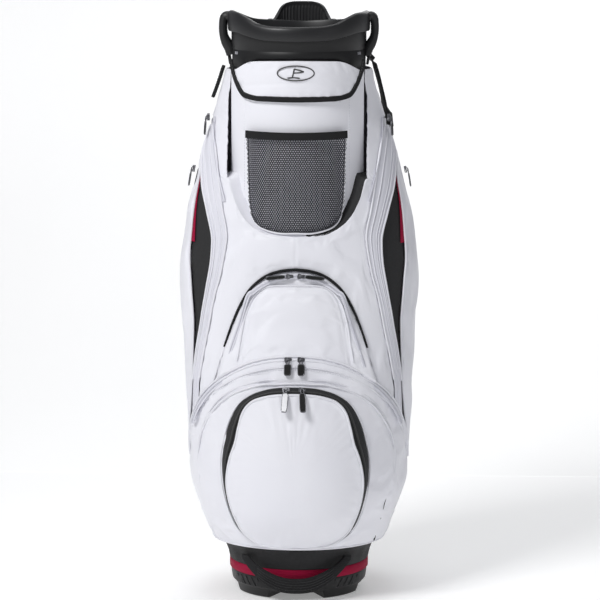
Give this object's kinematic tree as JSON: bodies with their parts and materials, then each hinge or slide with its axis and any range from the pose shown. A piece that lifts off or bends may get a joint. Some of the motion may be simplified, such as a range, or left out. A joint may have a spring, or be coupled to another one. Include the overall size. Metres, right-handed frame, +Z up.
{
  "type": "golf cart bag",
  "caption": "Upright golf cart bag with a moulded collar, divided club openings, arched zip pockets, a mesh pouch, side handles, a shoulder strap and a footed moulded base.",
  "frame": {"origin": "on the floor, under the middle of the whole bag", "axes": "+Z up along the liner; the front with its pockets faces -Y; +X is the bag right-hand side as seen from the front"},
  "size_m": [0.373, 0.3773, 0.9278],
  "materials": {
    "white_fabric": "coated woven polyester, satin",
    "black_fabric": "woven nylon, matt",
    "webbing": "ribbed webbing",
    "pocket_mesh": "open knitted mesh",
    "black_plastic": "moulded, satin with a fine grain",
    "liner_sheet": "rolled sheet, matt",
    "divider_fabric": "brushed lining cloth over board",
    "red_trim": "crimson webbing",
    "stay_steel": "drawn rod",
    "zip_metal": "polished die casting",
    "pull_rubber": "moulded rubber with a metal rim"
  },
  "bodies": {
    "bag": {"bridge_panel": "white_fabric", "shoulder_panel_left": "white_fabric", "shoulder_panel_right": "white_fabric", "chest_panel": "white_fabric", "upper_pocket": "white_fabric", "lower_pocket": "white_fabric", "ball_pocket": "white_fabric", "side_pocket_left": "white_fabric", "side_pocket_right": "white_fabric", "rear_pocket_left": "white_fabric", "rear_pocket_right": "white_fabric", "side_gusset_left": "black_fabric", "side_gusset_right": "black_fabric", "spine_pad": "black_fabric", "strap_shoulder_pad": "black_fabric", "base_skirt": "black_fabric", "glove_tab": "black_fabric", "strap_upper_webbing": "webbing", "strap_lower_webbing": "webbing", "mesh_elastic_band": "webbing", "mesh_pocket": "pocket_mesh", "base_boot": "black_plastic", "base_grab_handle": "black_plastic", "top_collar": "black_plastic", "side_handle_left": "black_plastic", "side_handle_right": "black_plastic", "rear_cowl": "black_plastic", "strap_top_anchor": "black_plastic", "strap_foot_anchor": "black_plastic", "inner_liner": "liner_sheet", "putter_well": "liner_sheet", "divider_front": "divider_fabric", "divider_middle": "divider_fabric", "divider_rear": "divider_fabric", "base_red_band": "red_trim", "stay_rod_left": "stay_steel", "stay_rod_right": "stay_steel"},
    "flap": {"cover_flap": "white_fabric"},
    "upper_slider_left": {"upper_slider_left": "zip_metal"},
    "upper_slider_left_pull": {"upper_slider_left_pull": "pull_rubber"},
    "upper_slider_right": {"upper_slider_right": "zip_metal"},
    "upper_slider_right_pull": {"upper_slider_right_pull": "pull_rubber"},
    "lower_slider_left": {"lower_slider_left": "zip_metal"},
    "lower_slider_left_pull": {"lower_slider_left_pull": "pull_rubber"},
    "lower_slider_right": {"lower_slider_right": "zip_metal"},
    "lower_slider_right_pull": {"lower_slider_right_pull": "pull_rubber"},
    "ball_slider_left": {"ball_slider_left": "zip_metal"},
    "ball_slider_left_pull": {"ball_slider_left_pull": "zip_metal"},
    "ball_slider_right": {"ball_slider_right": "zip_metal"},
    "ball_slider_right_pull": {"ball_slider_right_pull": "pull_rubber"},
    "side_slider_left": {"side_slider_left": "zip_metal"},
    "side_slider_left_pull": {"side_slider_left_pull": "pull_rubber"},
    "side_slider_right": {"side_slider_right": "zip_metal"},
    "side_slider_right_pull": {"side_slider_right_pull": "pull_rubber"},
    "rear_slider_left": {"rear_slider_left": "zip_metal"},
    "rear_slider_left_pull": {"rear_slider_left_pull": "pull_rubber"},
    "rear_slider_right": {"rear_slider_right": "zip_metal"},
    "rear_slider_right_pull": {"rear_slider_right_pull": "pull_rubber"}
  },
  "joints": [
    {"name": "flap_lift", "type": "hinge", "parent": "bag", "child": "flap", "pos_m": [0, -0.10625, 0.845], "axis": [-1, 0, 0], "range_deg": [0, 100]},
    {"name": "upper_zip_left", "type": "hinge", "parent": "bag", "child": "upper_slider_left", "pos_m": [0, -0.12025, 0.416], "axis": [0, -1, -0.0035], "range_deg": [0, 75]},
    {"name": "upper_pull_left", "type": "hinge", "parent": "upper_slider_left", "child": "upper_slider_left_pull", "pos_m": [-0.00878, -0.12454, 0.5163], "axis": [-0.0981, 0.1702, 0.9805], "range_deg": [0, 100]},
    {"name": "upper_zip_right", "type": "hinge", "parent": "bag", "child": "upper_slider_right", "pos_m": [0, -0.12025, 0.416], "axis": [0, 1, 0.0035], "range_deg": [0, 75]},
    {"name": "upper_pull_right", "type": "hinge", "parent": "upper_slider_right", "child": "upper_slider_right_pull", "pos_m": [0.00878, -0.12454, 0.5163], "axis": [-0.0981, -0.1702, -0.9805], "range_deg": [0, 100]},
    {"name": "lower_zip_left", "type": "hinge", "parent": "bag", "child": "lower_slider_left", "pos_m": [0, -0.05545, 0.2494], "axis": [0, -0.8387, -0.5446], "range_deg": [0, 80]},
    {"name": "lower_pull_left", "type": "hinge", "parent": "lower_slider_left", "child": "lower_slider_left_pull", "pos_m": [-0.01014, -0.15065, 0.39108], "axis": [-0.999, 0.0456, 0], "range_deg": [0, 100]},
    {"name": "lower_zip_right", "type": "hinge", "parent": "bag", "child": "lower_slider_right", "pos_m": [0, -0.05545, 0.2494], "axis": [0, 0.8387, 0.5446], "range_deg": [0, 80]},
    {"name": "lower_pull_right", "type": "hinge", "parent": "lower_slider_right", "child": "lower_slider_right_pull", "pos_m": [0.01014, -0.15065, 0.39108], "axis": [-0.999, -0.0456, 0], "range_deg": [0, 100]},
    {"name": "ball_zip_left", "type": "hinge", "parent": "bag", "child": "ball_slider_left", "pos_m": [0, -0.13345, 0.229], "axis": [0, -0.9646, -0.2639], "range_deg": [0, 85]},
    {"name": "ball_pull_left", "type": "hinge", "parent": "ball_slider_left", "child": "ball_slider_left_pull", "pos_m": [-0.01259, -0.16863, 0.34786], "axis": [-0.9956, 0.0939, 0], "range_deg": [0, 100]},
    {"name": "ball_zip_right", "type": "hinge", "parent": "bag", "child": "ball_slider_right", "pos_m": [0, -0.13345, 0.229], "axis": [0, 0.9646, 0.2639], "range_deg": [0, 85]},
    {"name": "ball_pull_right", "type": "hinge", "parent": "ball_slider_right", "child": "ball_slider_right_pull", "pos_m": [0.01259, -0.16863, 0.34786], "axis": [-0.9956, -0.0939, 0], "range_deg": [0, 100]},
    {"name": "side_zip_left", "type": "slide", "parent": "bag", "child": "side_slider_left", "axis": [0.1057, -0.4934, -0.8634], "range_m": [0, 0.12]},
    {"name": "side_pull_left", "type": "hinge", "parent": "side_slider_left", "child": "side_slider_left_pull", "pos_m": [-0.14377, -0.01275, 0.75278], "axis": [-0.3259, 0.9454, 0], "range_deg": [0, 100]},
    {"name": "side_zip_right", "type": "slide", "parent": "bag", "child": "side_slider_right", "axis": [-0.1057, -0.4934, -0.8634], "range_m": [0, 0.12]},
    {"name": "side_pull_right", "type": "hinge", "parent": "side_slider_right", "child": "side_slider_right_pull", "pos_m": [0.14377, -0.01275, 0.75278], "axis": [-0.3259, -0.9454, 0], "range_deg": [0, 100]},
    {"name": "rear_zip_left", "type": "slide", "parent": "bag", "child": "rear_slider_left", "axis": [-0.1601, 0, -0.9871], "range_m": [0, 0.14]},
    {"name": "rear_pull_left", "type": "hinge", "parent": "rear_slider_left", "child": "rear_slider_left_pull", "pos_m": [-0.16992, 0.027, 0.66864], "axis": [0.1149, 0.9934, 0], "range_deg": [0, 100]},
    {"name": "rear_zip_right", "type": "slide", "parent": "bag", "child": "rear_slider_right", "axis": [0.1601, 0, -0.9871], "range_m": [0, 0.14]},
    {"name": "rear_pull_right", "type": "hinge", "parent": "rear_slider_right", "child": "rear_slider_right_pull", "pos_m": [0.16992, 0.027, 0.66864], "axis": [0.1149, -0.9934, 0], "range_deg": [0, 100]}
  ]
}
